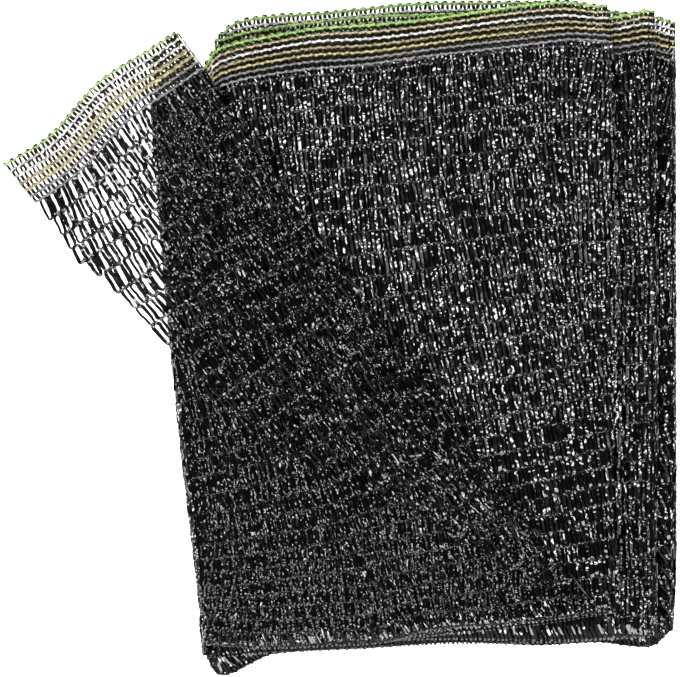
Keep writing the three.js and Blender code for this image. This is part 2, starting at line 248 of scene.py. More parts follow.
def along(rows, column, share):
    """Smooth value of one column of a table at shares between 0 and 1."""
    table = np.array(rows, float)
    shares, values = table[:, 0], table[:, column]
    count = len(shares)
    before = np.maximum(np.arange(count) - 1, 0)
    after = np.minimum(np.arange(count) + 1, count - 1)
    slopes = (values[after] - values[before]) / (shares[after] - shares[before])
    share = np.clip(share, 0, 1)
    last = np.clip(np.searchsorted(shares, share), 1, count - 1)
    start = last - 1
    run = shares[last] - shares[start]
    t = (share - shares[start]) / run
    from_part = (1 + 2 * t) * (1 - t) ** 2 * values[start] + t * (1 - t) ** 2 * run * slopes[start]
    to_part = t * t * (3 - 2 * t) * values[last] + t * t * (t - 1) * run * slopes[last]
    return from_part + to_part


def edge_point(name, share):
    return along(EDGES[name], 1, share), along(EDGES[name], 2, share)


def fold_point(name, share):
    """The line that a turn of the cloth bends round, inside the edge that shows."""
    x, y = edge_point(name, share)
    if name == "loose_end":
        return x, y
    if name == "slant":
        return x - ACROSS_SLANT[0] * SINGLE_REACH, y - ACROSS_SLANT[1] * SINGLE_REACH
    inward = DOUBLED_REACH if name.endswith("left") else -DOUBLED_REACH
    return x + inward, y


def pass_plan(number):
    """Gives the plan of a pass as a function of the shares across and down it."""
    left_name, right_name, bows = PASSES[number - 1]

    def plan(across, down):
        left_x, left_y = fold_point(left_name, down)
        right_x, right_y = fold_point(right_name, down)
        top_rise = along(BOWS[bows], 1, across) * (1 - down) ** 2
        bottom_rise = along(BOWS[bows], 2, across) * down ** 2
        x = left_x + (right_x - left_x) * across
        y = left_y + (right_y - left_y) * across + top_rise + bottom_rise + SINGLE_REACH * down
        return x, y

    return plan


def flap_plan(across, down):
    """The plan of the flap, from the slanted fold to its cut end."""
    fold_x, fold_y = fold_point("slant", down)
    end_x, end_y = edge_point("cut_end", down)
    wave = along(FLAP_WAVE, 1, across) * (1 - down) ** FLAP_WAVE_FADE
    x = fold_x + (end_x - fold_x) * across - ACROSS_SLANT[1] * wave
    y = fold_y + (end_y - fold_y) * across + ACROSS_SLANT[0] * wave + SINGLE_REACH * down
    return x, y


def level_height(level):
    return SHEET / 2 + level * LAYER_STEP


def middle_height(number):
    """The height between the two sheets of a pass."""
    return level_height(2 * (number - 1) + 0.5)


def left_of_edge(name, x, y):
    """How far a point lies to the left of an edge of the pile."""
    top, bottom = EDGES[name][0][2], EDGES[name][-1][2]
    down = np.clip((top - y) / (top - bottom), 0, 1)
    return edge_point(name, down)[0] - x


def right_of_slant(x, y):
    """How far a point lies from the slanted fold, on the side of the front pass."""
    line = np.column_stack(edge_point("slant", GRID))
    start, way = line[0], unit(line[-1] - line[0])
    return (x - start[0]) * -way[1] + (y - start[1]) * way[0]


def droop_share(x, y):
    """How far a point that overhangs the rear layers has sagged towards the surface, from 0 to 1."""
    return smooth(left_of_edge("rear_left", x, y) / DROOP_RUN)


def crease_lift(x, y):
    lift = np.zeros(np.shape(x))
    for x1, y1, x2, y2, width, rise in CREASES:
        run_x, run_y = x2 - x1, y2 - y1
        t = np.clip(((x - x1) * run_x + (y - y1) * run_y) / (run_x ** 2 + run_y ** 2), 0, 1)
        away = np.hypot(x - x1 - t * run_x, y - y1 - t * run_y)
        lift = lift + rise * np.exp(-((away / width) ** 2))
    return lift


def bottom_sink(x, y, z):
    """How far the pile rounds off towards its bottom edge."""
    left_x = fold_point("rear_left", 1.0)[0]
    right_x = fold_point("rear_right", 1.0)[0]
    across = np.clip((x - left_x) / (right_x - left_x), 0, 1)
    bottom_y = pass_plan(REAR_PASS)(across, np.ones(np.shape(across)))[1]
    t = np.clip((y - bottom_y) / BOTTOM_RUN, 0, 1)
    return BOTTOM_SINK * (1 - t) ** 2 * np.clip((z - SHEET / 2) / FULL_SINK_HEIGHT, 0, 1)


def settle(x, y, z):
    """Lets a point of the level pile sag, crease and round off."""
    sag = droop_share(x, y)
    share = np.maximum(z - SHEET / 2, 0) / FLAP_HEIGHT
    lift = crease_lift(x, y) * share - bottom_sink(x, y, z)
    return z - sag * (FLAP_HEIGHT - SHEET / 2) + lift * (1 - sag)


def laid(x, y, z):
    return np.stack([x, y, settle(x, y, z)], axis=-1)


def ripple(x, y, level):
    """Unevenness of the knit: waves of a few tenths of a millimetre, shifted from level to level."""
    shift = 1.7 * level
    side = 0.45 * np.sin(y / 23 + 1.1 + shift) + 0.3 * np.sin((x + y) / 11 + shift)
    down = 0.5 * np.sin(x / 19 + 0.4 + shift) + 0.32 * np.sin((x - 1.7 * y) / 9.7 + shift)
    return x + side, y + down


def unit(vectors):
    return vectors / np.maximum(np.linalg.norm(vectors, axis=-1, keepdims=True), TINY)


def plan_line(plan, down):
    return np.column_stack(plan(GRID, np.full(GRID.shape, down)))


def line_run(line):
    return np.concatenate([[0], np.cumsum(np.hypot(*np.diff(line, axis=0).T))])


def at_run(line, run, places):
    return np.column_stack([np.interp(places, run, line[:, 0]), np.interp(places, run, line[:, 1])])


def meet(line, base, tangent):
    """Where the perpendicular through each base point meets a row line, held at the line's ends."""
    ahead = np.einsum("nkc,nc->nk", line[None] - base[:, None], tangent)
    after = np.argmax(ahead > 0, axis=1)
    after = np.where(ahead[:, -1] <= 0, len(line) - 1, after)
    before = np.maximum(after - 1, 0)
    pick = np.arange(len(base))
    low, high = ahead[pick, before], ahead[pick, after]
    span = np.where(np.abs(high - low) < TINY, 1, high - low)
    t = np.clip(-low / span, 0, 1)[:, None]
    return line[before] * (1 - t) + line[after] * t


def row_strokes(plan, top_down, low_down, pitch, random, jitter, paired):
    """Places the strokes of one row of the net between two chain lines, seen from above.

    Each stroke turns into the next one, or else pairs of strokes stand apart as long loops.
    """
    middle = plan_line(plan, (top_down + low_down) / 2)
    run = line_run(middle)
    count = int(run[-1] / pitch)
    if paired:
        count -= count % 2
    if count < 2:
        return None
    step = run[-1] / count
    places = (np.arange(count) + 0.5) * step
    base = at_run(middle, run, places)
    tangent = at_run(middle, run, places + 0.5) - at_run(middle, run, places - 0.5)
    tangent = tangent / np.linalg.norm(tangent, axis=1)[:, None]
    even = np.arange(count) % 2 == 0
    apart = np.where(even, -LOOP_SPREAD, LOOP_SPREAD) * paired
    top_shift = random.normal(0, jitter, count) + apart
    low_shift = random.normal(0, jitter, count) + apart
    start = np.where(even, top_shift, low_shift)
    end = np.where(even, low_shift, top_shift)
    start_before = np.roll(np.where(even, low_shift, top_shift), 1)
    end_after = np.roll(np.where(even, top_shift, low_shift), -1)
    start_turn = (start + start_before - step) / 2
    end_turn = (end + end_after + step) / 2
    if paired:
        top_join = (top_shift + np.roll(top_shift, -1) + step) / 2
        low_join = (low_shift + np.roll(low_shift, -1) + step) / 2
        start_turn = np.where(even, top_join, np.roll(low_join, 1) - step)
        end_turn = np.where(even, low_join, np.roll(top_join, 1) - step)
    return {
        "upper": meet(plan_line(plan, top_down), base, tangent),
        "lower": meet(plan_line(plan, low_down), base, tangent),
        "tangent": tangent,
        "depth": np.full(count, (top_down + low_down) / 2),
        "even": even,
        "start": start,
        "end": end,
        "start_turn": start_turn,
        "end_turn": end_turn,
    }


def net_strokes(plan, downs, pitch, random, jitter, paired=False):
    rows = []
    for top_down, low_down in zip(downs[:-1], downs[1:]):
        placed = row_strokes(plan, top_down, low_down, pitch, random, jitter, paired)
        if placed is not None:
            rows.append(placed)
    return {key: np.concatenate([row[key] for row in rows]) for key in rows[0]}


def chosen(strokes, keep):
    return {key: values[keep] for key, values in strokes.items()}


def middle_of(strokes):
    return ((strokes["upper"] + strokes["lower"]) / 2).T


def stroke_paths(strokes, shape, level, random, lay):
    """Middle lines of the tape strokes lying on a level of the pile."""
    way_of = TAPE_LAY[lay]
    share, reach, turn, _ = (np.array(column, float)[None] for column in zip(*shape))
    upper, lower = strokes["upper"], strokes["lower"]
    length = np.maximum(np.linalg.norm(lower - upper, axis=1), SHORTEST_ROW)[:, None]
    way = share + reach * LOOP_REACH / length
    down = np.where(strokes["even"][:, None], way, 1 - way)
    start, end = strokes["start"][:, None], strokes["end"][:, None]
    straight = start + (end - start) * share
    to_start = np.maximum(-turn, 0) * (strokes["start_turn"][:, None] - start)
    to_end = np.maximum(turn, 0) * (strokes["end_turn"][:, None] - end)
    bow = random.normal(0, BOW_SHARE * way_of.stray, len(upper))[:, None] * np.sin(np.pi * share)
    lean = way_of.lean * np.maximum(1 - strokes["depth"] / LEAN_RUN, LEAST_LEAN)[:, None] * (down - 0.5)
    aside = straight + to_start + to_end + bow + lean + random.normal(0, way_of.wobble, down.shape)
    flat = upper[:, None] + (lower - upper)[:, None] * down[..., None]
    flat = flat + strokes["tangent"][:, None] * aside[..., None]
    x, y = ripple(flat[..., 0], flat[..., 1], level)
    raised = random.normal(way_of.rise, way_of.rise / 2, len(upper))[:, None]
    z = settle(x, y, level_height(level)) + raised * np.sin(np.pi * np.clip(down, 0, 1))
    z = z + random.normal(0, WAVINESS + way_of.wobble, x.shape)
    return np.stack([x, y, np.maximum(z, LOWEST_TAPE)], axis=-1)


def drift(x, y):
    """What neighbouring strokes share of their roll, so that glints come in groups."""
    across = np.sin(x / 12 + 2 * np.sin(y / 17))
    down = np.sin(y / 8.3 + 1.6 * np.sin(x / 21 + 1))
    return across + down + np.sin((x - y) / 6.1)


# How much of its roll the tape takes on: towards the front pass's bottom edge, in patches and at a corner
CALM_START, CALM_RUN, CALM_SLACK = -70, 60, 0.32
PATCH_SLACK, PATCH_SWING = 0.84, 0.4
FLAT_CORNER, FLAT_REACH, FLAT_SHARE = (-44, -119), (16, 11), 0.5


def taut(x, y):
    return np.ones(len(x))


def front_slack(x, y):
    """The front pass lies calmer towards its bottom edge."""
    return CALM_SLACK + (1 - CALM_SLACK) * smooth((y - CALM_START) / CALM_RUN)


def patchy(x, y):
    """Patches where the tape lies flatter or looser than round them."""
    patches = np.sin(x / 10 + 1.5 * np.sin(y / 13)) * np.sin(y / 8 + np.sin(x / 17))
    return PATCH_SLACK + PATCH_SWING * patches


def turned_slack(x, y):
    """The turned pass lies flat near its lower left corner."""
    from_x, from_y = (x - FLAT_CORNER[0]) / FLAT_REACH[0], (y - FLAT_CORNER[1]) / FLAT_REACH[1]
    return patchy(x, y) * (1 - FLAT_SHARE * np.exp(-(from_x ** 2 + from_y ** 2)))


def tape_ribbons(paths, shape, section, random, lay, facing=UP, slack=taut):
    """Gives tape strokes their width, roll and crinkles. Returns points and four-sided faces."""
    count, steps, _ = paths.shape
    way_of = TAPE_LAY[lay]
    middle_x, middle_y, _ = paths[:, steps // 2].T
    tangent = unit(np.gradient(paths, axis=1))
    side = unit(np.cross(tangent, facing))
    normal = np.cross(side, tangent)
    ends = np.linspace(-1, 1, steps)
    roll = way_of.roll * (DRIFT_SHARE * drift(middle_x, middle_y) + random.normal(0, 1, count))[:, None]
    twist = random.normal(0, way_of.twist, (count, 1)) * ends
    crumple = random.normal(0, way_of.crumple, (count, steps))
    roll = (roll + twist + crumple) * slack(middle_x, middle_y)[:, None]
    roll = np.radians(np.clip(roll, -STEEPEST_ROLL, STEEPEST_ROLL))[..., None]
    side, normal = side * np.cos(roll) + normal * np.sin(roll), normal * np.cos(roll) - side * np.sin(roll)
    taper = np.clip(1 + random.normal(0, way_of.taper, (count, 1)) * ends, *TAPER_LIMITS)
    spread = random.normal(1, WIDTH_SPREAD + way_of.taper / 2, (count, 1))
    full = way_of.width * np.clip(spread, *WIDTH_LIMITS)
    widths = full * np.array([row[-1] for row in shape])[None] * taper
    across = np.array(section, float)
    cup = random.normal(0, CUP, (count, 1, 1)) * (1 - across ** 2)
    crinkle = random.normal(0, CRINKLE * way_of.crumple, (count, steps, len(across)))
    heights = (cup + crinkle)[..., None] * normal[:, :, None]
    points = paths[:, :, None] + side[:, :, None] * (across[:, None] * widths[:, :, None, None] / 2) + heights
    ids = np.arange(count * steps * len(across)).reshape(count, steps, len(across))
    faces = np.stack([ids[:, :-1, :-1], ids[:, :-1, 1:], ids[:, 1:, 1:], ids[:, 1:, :-1]], axis=-1)
    return points.reshape(-1, 3), faces.reshape(-1, 4)


def chain_path(plan, down, level, stitch, samples):
    """Middle line of a chain of stitches along a row line of the net."""
    line = plan_line(plan, down)
    run = line_run(line)
    count = max(int(run[-1] / stitch), 2) * samples
    flat = at_run(line, run, np.linspace(0, run[-1], count + 1))
    x, y = ripple(flat[:, 0], flat[:, 1], level)
    return np.column_stack([x, y, np.maximum(settle(x, y, level_height(level)), LOWEST_CHAIN)])


def chain_tube(path, radius, tube, random, facing=UP):
    """A beaded tube along a path: a fat bead for each stitch, stepping from side to side."""
    count = len(path)
    phase = np.arange(count) / tube.samples
    swell = np.abs(np.sin(np.pi * phase))
    bead = radius * (BEAD_WAIST + (1 - BEAD_WAIST) * swell) * random.normal(1, BEAD_SPREAD, count)
    tangent = unit(np.gradient(path, axis=0))
    side = unit(np.cross(tangent, facing))
    up = np.cross(side, tangent)
    step = tube.zigzag * np.where(np.floor(phase).astype(int) % 2 == 0, 1, -1) * swell
    middle = path + side * step[:, None]
    angles = 2 * np.pi * np.arange(tube.sides) / tube.sides
    wide, thick = CHAIN_WIDE * np.cos(angles), CHAIN_THICK * np.sin(angles)
    ring = side[:, None] * wide[None, :, None] + up[:, None] * thick[None, :, None]
    points = middle[:, None] + ring * bead[:, None, None]
    ids = np.arange(count * tube.sides).reshape(count, tube.sides)
    turned = np.roll(ids, -1, axis=1)
    faces = np.stack([ids[:-1], ids[1:], turned[1:], turned[:-1]], axis=-1)
    return points.reshape(-1, 3), faces.reshape(-1, 4)


class Gathered:
    """Collects points, faces and material numbers of many small strands for one joined mesh."""

    def __init__(self):
        self.points, self.faces, self.slots, self.total = [], [], [], 0

    def add(self, points, faces, slots=0):
        self.points.append(points)
        self.faces.append(faces + self.total)
        self.slots.append(np.broadcast_to(slots, len(faces)))
        self.total += len(points)

    def piece(self, name, materials):
        points = np.concatenate(self.points)
        points[:, 2] = np.maximum(points[:, 2], LOWEST)
        points = (points * MM).astype(np.float32)
        faces = np.concatenate(self.faces).astype(np.int32)
        mesh = bpy.data.meshes.new(name)
        mesh.vertices.add(len(points))
        mesh.vertices.foreach_set("co", points.ravel())
        mesh.loops.add(faces.size)
        mesh.loops.foreach_set("vertex_index", faces.ravel())
        mesh.polygons.add(len(faces))
        mesh.polygons.foreach_set("loop_start", np.arange(0, faces.size, 4, dtype=np.int32))
        for material in materials:
            mesh.materials.append(material)
        mesh.polygons.foreach_set("material_index", np.concatenate(self.slots).astype(np.int32))
        mesh.polygons.foreach_set("use_smooth", np.ones(len(faces), bool))
        mesh.update(calc_edges=True)
        mesh.validate()
        made = bpy.data.objects.new(name, mesh)
        bpy.context.scene.collection.objects.link(made)
        return made


# Materials: blacks of the tape, tones of the floor, and the spans of noise that the tones are spread over
DEEP_BLACK = (0.0002, 0.0002, 0.0003)
WARM_BLACK = (0.0007, 0.0006, 0.0005)
SOFT_BLACK = (0.0008, 0.0008, 0.0009)
FLOOR_TONES = ((0.86, 0.86, 0.86), (0.9, 0.9, 0.9))
FLOOR_GLOW = 0.65
TAPE_SPAN = (0.35, 0.68)
TAPE_ROUGHNESS = (0.05, 0.12)
YARN_SPAN = (0.38, 0.58)
# Painted shade of the hollows between stitches, as a share of a chain's colour
HOLLOW_SHADE = 0.3


class Look:
    """A material whose shader is fed by procedural nodes."""

    def __init__(self, name):
        self.material = bpy.data.materials.new(name)
        self.material.use_nodes = True
        self.nodes = self.material.node_tree.nodes
        self.shader = self.nodes["Principled BSDF"].inputs

    def link(self, output, target):
        self.material.node_tree.links.new(output, target)

    def noise(self, scale, detail=2):
        place = self.nodes.new("ShaderNodeTexCoord")
        noise = self.nodes.new("ShaderNodeTexNoise")
        noise.inputs["Scale"].default_value = scale
        noise.inputs["Detail"].default_value = detail
        self.link(place.outputs["Object"], noise.inputs["Vector"])
        return noise.outputs["Fac"]

    def tones(self, share, dark, light, span=(0, 1)):
        """Colours the surface from dark to light over a span of a share."""
        ramp = self.nodes.new("ShaderNodeValToRGB")
        for element, position, tone in zip(ramp.color_ramp.elements, span, (dark, light)):
            element.position = position
            element.color = (*tone, 1)
        self.link(share, ramp.inputs["Fac"])
        self.link(ramp.outputs["Color"], self.shader["Base Color"])

    def gloss(self, share, span, roughness):
        """Varies the roughness over a span of a share."""
        ranged = self.nodes.new("ShaderNodeMapRange")
        for name, value in zip(("From Min", "From Max", "To Min", "To Max"), (*span, *roughness)):
            ranged.inputs[name].default_value = value
        self.link(share, ranged.inputs["Value"])
        self.link(ranged.outputs["Result"], self.shader["Roughness"])

    def relief(self, height, strength, depth):
        bump = self.nodes.new("ShaderNodeBump")
        bump.inputs["Strength"].default_value = strength
        bump.inputs["Distance"].default_value = depth * MM
        self.link(height, bump.inputs["Height"])
        self.link(bump.outputs["Normal"], self.shader["Normal"])


def tape_material(name, shine):
    """Glossy black polyethylene tape with fine crinkles and a slight drift of tint."""
    look = Look(name)
    look.tones(look.noise(scale=210), DEEP_BLACK, WARM_BLACK, TAPE_SPAN)
    look.gloss(look.noise(scale=380), TAPE_SPAN, TAPE_ROUGHNESS)
    look.relief(look.noise(scale=620, detail=0), strength=0.2, depth=0.2)
    look.shader["Specular IOR Level"].default_value = shine
    return look.material


def chain_material(name, colour, shine=0.4):
    """Chain yarn: a soft gloss, with painted shade for the hollows between its stitches, spread by noise."""
    look = Look(name)
    mottle = look.noise(scale=700)
    look.tones(mottle, [HOLLOW_SHADE * part for part in colour], colour, YARN_SPAN)
    look.relief(mottle, strength=0.3, depth=0.2)
    look.shader["Roughness"].default_value = 0.5
    look.shader["Specular IOR Level"].default_value = shine
    return look.material


def under_material():
    """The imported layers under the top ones: dark, with the rows and strokes of the net as relief."""
    look = Look("packed_net")
    knit = look.nodes.new("ShaderNodeUVMap")
    knit.uv_map = "knit"
    strokes = look.nodes.new("ShaderNodeTexWave")
    strokes.bands_direction = "X"
    strokes.inputs["Scale"].default_value = 0.5 / STROKE_PITCH
    strokes.inputs["Distortion"].default_value = 1.2
    strokes.inputs["Detail Scale"].default_value = 0.6
    look.link(knit.outputs["UV"], strokes.inputs["Vector"])
    look.tones(strokes.outputs["Fac"], DEEP_BLACK, SOFT_BLACK)
    look.relief(strokes.outputs["Fac"], strength=0.8, depth=0.6)
    look.shader["Roughness"].default_value = 0.5
    look.shader["Specular IOR Level"].default_value = 0.02
    return look.material


def floor_material():
    look = Look("pale_floor")
    look.tones(look.noise(scale=40), *FLOOR_TONES)
    look.shader["Roughness"].default_value = 0.9
    look.shader["Emission Color"].default_value = (1, 1, 1, 1)
    look.shader["Emission Strength"].default_value = FLOOR_GLOW
    return look.material


black_tape = tape_material("black_tape", 0.5)
dull_tape = tape_material("dull_tape", 0.31)
bar_tape = chain_material("bar_tape", (0.0055, 0.005, 0.0018), 0.03)
shaded_tape = chain_material("shaded_tape", (0.003, 0.003, 0.003), 0.03)
packed_net = under_material()
body_chain = chain_material("body_chain", (0.012, 0.012, 0.013))
# The same chain yarn painted pale, as painted light, for where it hangs free over the bright floor
painted_light_chain = chain_material("painted_light_chain", (0.7, 0.7, 0.68))
selvage_chains = [chain_material(f"chain_{name}", colour) for name, *colour in CHAIN_COLOURS]


def side_of(number):
    """The side of the fold that ends a pass: 1 for the right, -1 for the left."""
    return 1 if number % 2 == 1 else -1


def fold_axis(number, down):
    """The axis of the fold that ends a pass, at shares down it: its plan and its height."""
    across = np.full(np.shape(down), 1.0 if side_of(number) > 0 else 0.0)
    return *pass_plan(number)(across, down), middle_height(number) + DOUBLED_TURN


def round_fold(number, down, turn, rise=0.0):
    """Points on the outer sheet of the fold that ends a pass, from below up, and the ways that they face."""
    x, y, axis = fold_axis(number, down)
    way, radius = (side_of(number), 0), DOUBLED_TURN + SINGLE_TURN
    if number == TURNED_PASS:
        way, radius = ACROSS_SLANT, SINGLE_TURN
    facing = np.stack([way[0] * np.sin(turn), way[1] * np.sin(turn), -np.cos(turn)], axis=-1)
    out_x, out_y, out_z = np.moveaxis((radius + rise) * facing, -1, 0)
    return laid(x + out_x, y + out_y, axis + out_z), facing


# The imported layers: one thin sheet, doubled along the bottom and folded back and forth
UNDER_PASSES = 5
UNDER_COLUMNS = np.linspace(0, 1, 41)
UNDER_LOW = 0.996
UNDER_ROWS = np.linspace(SELVAGE_SHARE, UNDER_LOW, 30)
UNDER_TURN = np.linspace(0, np.pi, 9)[1:-1]
UNDER_THICKNESS = 0.5

# Under the front passes the sheet lies a little below the tape that shows: at the rim and away from it
RIM_INSET = 0.35
RIM_EASE = 0.85
RIM_RUN = 12.0


def cross_line(turn, x, y, z, face_x, face_z):
    """A line across the doubled cloth, given its middle at each station and the way its first sheet faces."""
    offset = SINGLE_TURN * np.cos(turn)
    return laid(x + offset * face_x, y - SINGLE_TURN * np.sin(turn), z + offset * face_z)


def packed_sheet():
    """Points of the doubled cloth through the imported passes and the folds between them."""
    down = np.concatenate([UNDER_ROWS, np.full(len(UNDER_TURN), UNDER_LOW), UNDER_ROWS[::-1]])
    turn = np.concatenate([np.zeros(len(UNDER_ROWS)), UNDER_TURN, np.full(len(UNDER_ROWS), np.pi)])
    lines = []
    for number in range(1, UNDER_PASSES + 1):
        side, plan = side_of(number), pass_plan(number)
        for share in UNDER_COLUMNS[::side]:
            x, y = plan(np.full(down.shape, share), down)
            lines.append(cross_line(turn, x, y, middle_height(number), 0, -side))
        if number == UNDER_PASSES:
            break
        x, y, axis = fold_axis(number, down)
        for bend in UNDER_TURN:
            out_x, out_z = side * math.sin(bend), -math.cos(bend)
            bent_x, bent_z = x + DOUBLED_TURN * out_x, axis + DOUBLED_TURN * out_z
            lines.append(cross_line(turn, bent_x, y, bent_z, side * out_x, side * out_z))
    return np.array(lines)


def rim_strip():
    """Points of the sheet that runs on under the front pass, round the left rim and under the turned pass."""
    rows, lines = UNDER_ROWS, []
    fold_x = fold_axis(FRONT_PASS, rows)[0]
    for share in UNDER_COLUMNS[::-1]:
        x, y = pass_plan(FRONT_PASS)(np.full(rows.shape, share), rows)
        lines.append(laid(x, y, level_height(SECOND_SHEET[FRONT_PASS]) - RIM_INSET))
    for bend in UNDER_TURN:
        lines.append(round_fold(FRONT_PASS, rows, np.full(rows.shape, bend), -RIM_INSET)[0])
    for share in UNDER_COLUMNS:
        x, y = pass_plan(TURNED_PASS)(np.full(rows.shape, share), rows)
        ease = RIM_EASE * smooth((x - fold_x) / RIM_RUN)
        lines.append(laid(x, y, level_height(SECOND_SHEET[TURNED_PASS]) - RIM_INSET - ease))
    return np.array(lines)


def grid_faces(grid):
    count, steps, _ = grid.shape
    ids = np.arange(count * steps).reshape(count, steps)
    return np.stack([ids[:-1, :-1], ids[1:, :-1], ids[1:, 1:], ids[:-1, 1:]], axis=-1).reshape(-1, 4)


def add_knit_map(made, grids):
    """Maps the sheet by the millimetres run along it and down it, so that the knit follows the cloth."""
    corners = []
    for grid in grids:
        runs = np.linalg.norm(np.diff(grid, axis=0), axis=2).mean(axis=1)
        drops = np.linalg.norm(np.diff(grid, axis=1), axis=2).mean(axis=0)
        u = np.concatenate([[0], np.cumsum(runs)])[:, None] + np.zeros(grid.shape[:2])
        v = np.concatenate([[0], np.cumsum(drops)])[None] + np.zeros(grid.shape[:2])
        corners.append(np.column_stack([u.ravel(), v.ravel()])[grid_faces(grid).ravel()])
    layer = made.data.uv_layers.new(name="knit")
    layer.data.foreach_set("uv", np.concatenate(corners).ravel().astype(np.float32))


def packed_layers():
    gathered = Gathered()
    grids = [packed_sheet(), rim_strip()]
    for grid in grids:
        gathered.add(grid.reshape(-1, 3), grid_faces(grid))
    made = gathered.piece("packed_layers", [packed_net])
    add_knit_map(made, grids)
    thicken = made.modifiers.new("thickness", "SOLIDIFY")
    thicken.thickness = UNDER_THICKNESS * MM
    thicken.offset = 0
    bpy.ops.object.select_all(action="DESELECT")
    bpy.context.view_layer.objects.active = made
    made.select_set(True)
    bpy.ops.object.modifier_apply(modifier=thicken.name)
    return made


# Nets of the passes that show: how far they run on under an edge, and rises above the level of a sheet
UNDERLAP = 8.0
SHEET_RISE = 0.2
TURNED_UNDER_RISE = 0.55


def everywhere(strokes):
    return np.ones(len(strokes["even"]), bool)


def hanging_free(strokes):
    """Picks the strokes of the flap that have nothing under them."""
    return left_of_edge("front_left", *middle_of(strokes)) > 0


def lying_on_pile(strokes):
    return ~hanging_free(strokes)


def past_slant(strokes):
    return right_of_slant(*middle_of(strokes)) > -UNDERLAP


def beyond(edge_name):
    """Picks the strokes that lie to the right of a fold edge, with a small underlap."""
    def keep(strokes):
        return left_of_edge(edge_name, *middle_of(strokes)) < UNDERLAP
    return keep


def add_net(gathered, plan, level, seed, lay, form, keep=everywhere, slack=taut, pitch=STROKE_PITCH,
            downs=BODY_DOWNS, slot=0):
    """Lays one net of tape strokes over a plan, in one of the stroke forms."""
    random = np.random.default_rng(seed)
    shape, section = form
    strokes = net_strokes(plan, downs, pitch, random, TAPE_LAY[lay].stray, form is LOOPED)
    paths = stroke_paths(chosen(strokes, keep(strokes)), shape, level, random, lay)
    gathered.add(*tape_ribbons(paths, shape, section, random, lay, slack=slack), slot)


def flap_net():
    gathered = Gathered()
    for lay, keep, slack in (("open_flap", hanging_free, taut), ("flap", lying_on_pile, patchy)):
        add_net(gathered, flap_plan, FLAP_LEVEL, 11, lay, LOOPED, keep, slack, FLAP_PITCH)
    return gathered.piece("net_flap", [dull_tape])


def turned_net():
    gathered = Gathered()
    plan, level = pass_plan(TURNED_PASS), SECOND_SHEET[TURNED_PASS]
    add_net(gathered, plan, level, 21, "turned", FINE, slack=turned_slack, pitch=TURNED_PITCH)
    add_net(gathered, plan, FIRST_SHEET[TURNED_PASS] + TURNED_UNDER_RISE, 22, "turned_under", PLAIN)
    return gathered.piece("net_turned", [dull_tape])


def front_net():
    gathered = Gathered()
    plan, level = pass_plan(FRONT_PASS), FIRST_SHEET[FRONT_PASS]
    add_net(gathered, plan, level, 31, "front", FINE, keep=past_slant, slack=front_slack)
    return gathered.piece("net_front", [black_tape])


# Net of the edges: its low rows, and the numbers of its materials after the glossy one
LOW_DOWNS = BODY_DOWNS[-4:]
SHADED, DULL = 1, 2

# Strokes along folds: how far they spread, twist and rise, and their angles round the fold
FoldLay = namedtuple("FoldLay", "spread twist rise")
BEND_LAY = FoldLay(0.12, 0.25, SHEET_RISE)
SLANT_LAY = FoldLay(0.15, 0, 0)
BEND_ANGLES = [0.3, 0.95, 1.5, 1.95, 2.4, 2.85]
BAR_BEND_ANGLES = [0.3, 0.95, 1.6, 2.25, 2.9]
SLANT_ANGLES = [1.1, 2.0]


def add_fold_strokes(gathered, number, downs, angles, shape, random, lay):
    """Lays tape strokes along the fold that ends a pass, on its outer sheet."""
    spread, twist, rise = SLANT_LAY if number == TURNED_PASS else BEND_LAY
    share = np.array([row[0] for row in shape], float)
    paths, facings = [], []
    for top_down, low_down in zip(downs[:-1], downs[1:]):
        for angle in angles:
            turn = np.full(share.shape, angle + random.normal(0, spread))
            if twist:
                turn = turn + random.normal(0, twist) * (share - 0.5)
            path, facing = round_fold(number, top_down + (low_down - top_down) * share, turn, rise)
            path[:, 2] = np.maximum(path[:, 2], LOWEST_TAPE)
            paths.append(path)
            facings.append(facing)
    gathered.add(*tape_ribbons(np.array(paths), shape, PLAIN_SECTION, random, lay, np.array(facings)))


# Strokes round the bottom turns: slope and rise on the sheet, lean, swell of the turn and spread of the run
WRAP_SLOPE = 0.02
WRAP_RISE = 0.15
WRAP_LEAN = -0.4
WRAP_SWELL = (0.15, 0.1)
WRAP_SPREAD = 0.25
WRAP_LIMITS = (0.5, 1.5)
# A dark strand that paints the shade along the bottom edges: its radius, and how far out it lies
SHADE_STRAND_RADIUS = 0.6
SHADE_STRAND_OUT = 0.45


def bottom_line(number):
    """The line that a pass turns round at its bottom edge: its length, and its points and ways at a run."""
    line = plan_line(pass_plan(number), 1.0)
    run = line_run(line)

    def at(places):
        tangent = unit(at_run(line, run, places + 1) - at_run(line, run, places - 1))
        return at_run(line, run, places), tangent, np.column_stack([tangent[:, 1], -tangent[:, 0]])

    return run[-1], at


